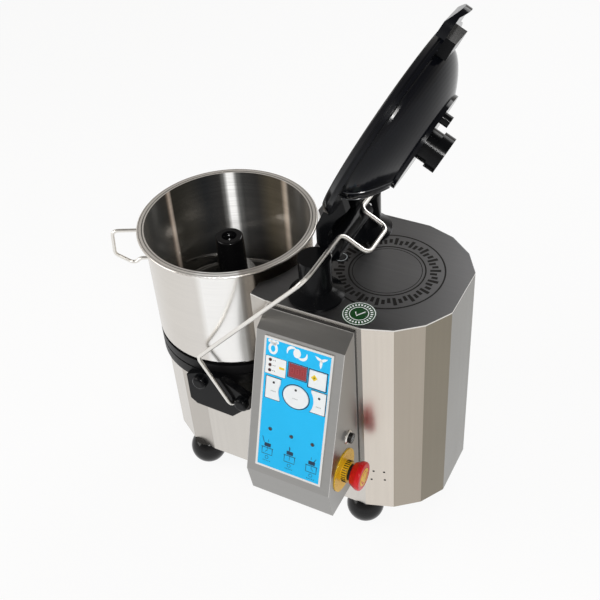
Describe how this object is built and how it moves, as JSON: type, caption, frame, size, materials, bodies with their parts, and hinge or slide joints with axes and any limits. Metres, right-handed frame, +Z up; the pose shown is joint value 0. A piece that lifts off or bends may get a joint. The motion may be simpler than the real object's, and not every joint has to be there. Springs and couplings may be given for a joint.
{
  "type": "cutter mixer",
  "caption": "Table-top cutter mixer with a lift-off steel bowl, belt-driven knife, hinged dome lid with wire bail and a sloping control box.",
  "frame": {"origin": "middle of the bounding box's bottom, on the surface that the feet stand on", "axes": "+Z up, +X from the bowl towards the tower, +Y from the operator towards the back"},
  "size_m": [0.4949, 0.3386, 0.7511],
  "materials": {
    "stainless": "brushed",
    "dark_top": "brushed, dark",
    "bowl_steel": "brushed inside, polished outside",
    "wire_steel": "polished",
    "box_steel": "brushed",
    "frame_steel": "satin",
    "fasteners": "plated",
    "shaft_steel": "ground",
    "bearing_steel": "ground",
    "chassis_paint": "satin paint",
    "cast_housing": "machined and painted",
    "motor_paint": "satin paint",
    "motor_core": "laminated core",
    "pulley_alloy": "turned",
    "blade_steel": "ground",
    "seat_black": "satin",
    "hub_black": "satin",
    "lid_black": "glossy",
    "fitting_black": "satin",
    "foot_rubber": "smooth",
    "seal_rubber": "smooth",
    "belt_rubber": "ribbed",
    "membrane_blue": "satin print",
    "display_red": "tinted",
    "key_white": "satin print",
    "board_green": "solder mask",
    "stop_yellow": "glossy",
    "stop_black": "satin",
    "stop_red": "glossy"
  },
  "bodies": {
    "body": {"base_shell": "stainless", "tower_shell": "stainless", "tower_inner_wall": "stainless", "base_top_plate": "stainless", "tower_top_plate": "dark_top", "bottom_plate": "stainless", "bottom_screws": "fasteners", "foot_front_left": "foot_rubber", "foot_front_right": "foot_rubber", "foot_rear_left": "foot_rubber", "foot_rear_right": "foot_rubber", "foot_nuts": "fasteners", "chassis_plate": "chassis_paint", "chassis_posts": "chassis_paint", "bearing_housing": "cast_housing", "spindle_bearings": "bearing_steel", "shaft_seal": "seal_rubber", "seat": "seat_black", "belt": "belt_rubber", "motor_housing": "motor_paint", "motor_end_cap": "motor_paint", "motor_stator": "motor_core", "motor_bearings": "bearing_steel", "hinge_posts": "fitting_black", "hinge_pin": "shaft_steel", "bail_brackets": "fitting_black", "control_box": "box_steel", "box_gasket": "seal_rubber", "panel_frame": "frame_steel", "membrane": "membrane_blue", "display_window": "display_red", "control_board": "board_green", "stop_disc": "stop_yellow"},
    "spindle": {"spindle": "shaft_steel", "drive_pin": "fasteners", "big_pulley": "pulley_alloy"},
    "motor": {"motor_rotor": "motor_core", "motor_shaft": "shaft_steel", "small_pulley": "pulley_alloy"},
    "bowl": {"bowl": "bowl_steel", "bowl_handle": "wire_steel"},
    "knife": {"knife_hub": "hub_black", "lower_blade": "blade_steel", "upper_blade": "blade_steel", "blade_spacers": "hub_black"},
    "lid": {"lid_shell": "lid_black", "lid_hinge_arms": "fitting_black", "lid_gasket": "seal_rubber", "lid_crown": "lid_black", "lid_catch": "fitting_black"},
    "stopper": {"stopper": "fitting_black"},
    "port_plug": {"port_plug": "fitting_black"},
    "bail": {"bail": "wire_steel"},
    "key_left": {"key_left": "key_white"},
    "key_right": {"key_right": "key_white"},
    "key_middle": {"key_middle": "key_white"},
    "key_timer": {"key_timer": "key_white"},
    "stop_stem": {"stop_stem": "stop_black"},
    "stop_head": {"stop_head": "stop_red"},
    "round_switch": {"round_switch": "stop_black"}
  },
  "joints": [
    {"name": "motor_turn", "type": "hinge", "parent": "body", "child": "motor", "pos_m": [0.13282, 0.03645, 0.104], "axis": [0, 0, 1], "continuous": true},
    {"name": "spindle_turn", "type": "hinge", "parent": "body", "child": "spindle", "pos_m": [-0.09517, 0.03645, 0.104], "axis": [0, 0, 1], "continuous": true},
    {"name": "bowl_lift", "type": "slide", "parent": "body", "child": "bowl", "axis": [0, 0, 1], "range_m": [0, 0.16]},
    {"name": "knife_lift", "type": "slide", "parent": "spindle", "child": "knife", "axis": [0, 0, 1], "range_m": [0, 0.16]},
    {"name": "lid_hinge", "type": "hinge", "parent": "body", "child": "lid", "pos_m": [0.08853, 0.03645, 0.4372], "axis": [0, 1, 0], "range_deg": [-117.5, 0]},
    {"name": "stopper_turn", "type": "hinge", "parent": "lid", "child": "stopper", "pos_m": [0.14346, 0.03645, 0.6157], "axis": [0.887, 0, -0.4617], "range_deg": [0, 90]},
    {"name": "port_plug_turn", "type": "hinge", "parent": "lid", "child": "port_plug", "pos_m": [0.16285, 0.03645, 0.65296], "axis": [0.887, 0, -0.4617], "range_deg": [0, 90]},
    {"name": "bail_swing", "type": "hinge", "parent": "body", "child": "bail", "pos_m": [-0.03818, 0.03645, 0.1815], "axis": [0, -1, 0], "range_deg": [-0.7, 0.5]},
    {"name": "key_left_push", "type": "slide", "parent": "body", "child": "key_left", "axis": [0, 0.9529, -0.3034], "range_m": [0, 0.0005], "stiffness_N_per_m": 1500},
    {"name": "key_right_push", "type": "slide", "parent": "body", "child": "key_right", "axis": [0, 0.9529, -0.3034], "range_m": [0, 0.0005], "stiffness_N_per_m": 1500},
    {"name": "key_middle_push", "type": "slide", "parent": "body", "child": "key_middle", "axis": [0, 0.9529, -0.3034], "range_m": [0, 0.0005], "stiffness_N_per_m": 1500},
    {"name": "key_timer_push", "type": "slide", "parent": "body", "child": "key_timer", "axis": [0, 0.9529, -0.3034], "range_m": [0, 0.0005], "stiffness_N_per_m": 1500},
    {"name": "stop_push", "type": "slide", "parent": "body", "child": "stop_stem", "axis": [-1, 0, 0], "range_m": [0, 0.004]},
    {"name": "stop_twist", "type": "hinge", "parent": "stop_stem", "child": "stop_head", "pos_m": [0.14933, -0.12395, 0.1708], "axis": [1, 0, 0], "range_deg": [0, 30], "stiffness_Nm_per_rad": 0.2},
    {"name": "round_switch_push", "type": "slide", "parent": "body", "child": "round_switch", "axis": [-1, 0, 0], "range_m": [0, 0.002], "stiffness_N_per_m": 600}
  ],
  "couplings": [
    {"joint": "spindle_turn", "follows": "motor_turn", "ratio": 0.5},
    {"joint": "knife_lift", "follows": "bowl_lift", "ratio": 1}
  ]
}
